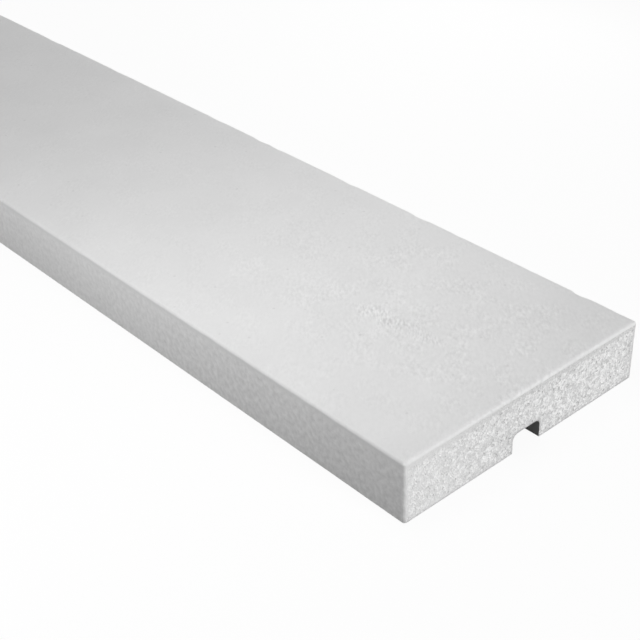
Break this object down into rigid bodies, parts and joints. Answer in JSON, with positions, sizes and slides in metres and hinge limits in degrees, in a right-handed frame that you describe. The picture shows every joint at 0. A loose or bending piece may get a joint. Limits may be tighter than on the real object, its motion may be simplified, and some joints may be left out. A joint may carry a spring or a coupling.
{
  "type": "flat facade moulding",
  "caption": "Flat white rigid-foam facade moulding with soft edges, sawn ends and a shallow groove along its back, to glue round windows and along walls.",
  "frame": {"origin": "middle of the back face, the plane that is glued to the wall and that the moulding lies on", "axes": "+X along the length, +Y across the face, +Z from the back to the face, which is up as it lies"},
  "size_m": [2, 0.12, 0.025],
  "materials": {
    "foam": "matte"
  },
  "bodies": {
    "root": {"facade_moulding": "foam"}
  },
  "joints": []
}
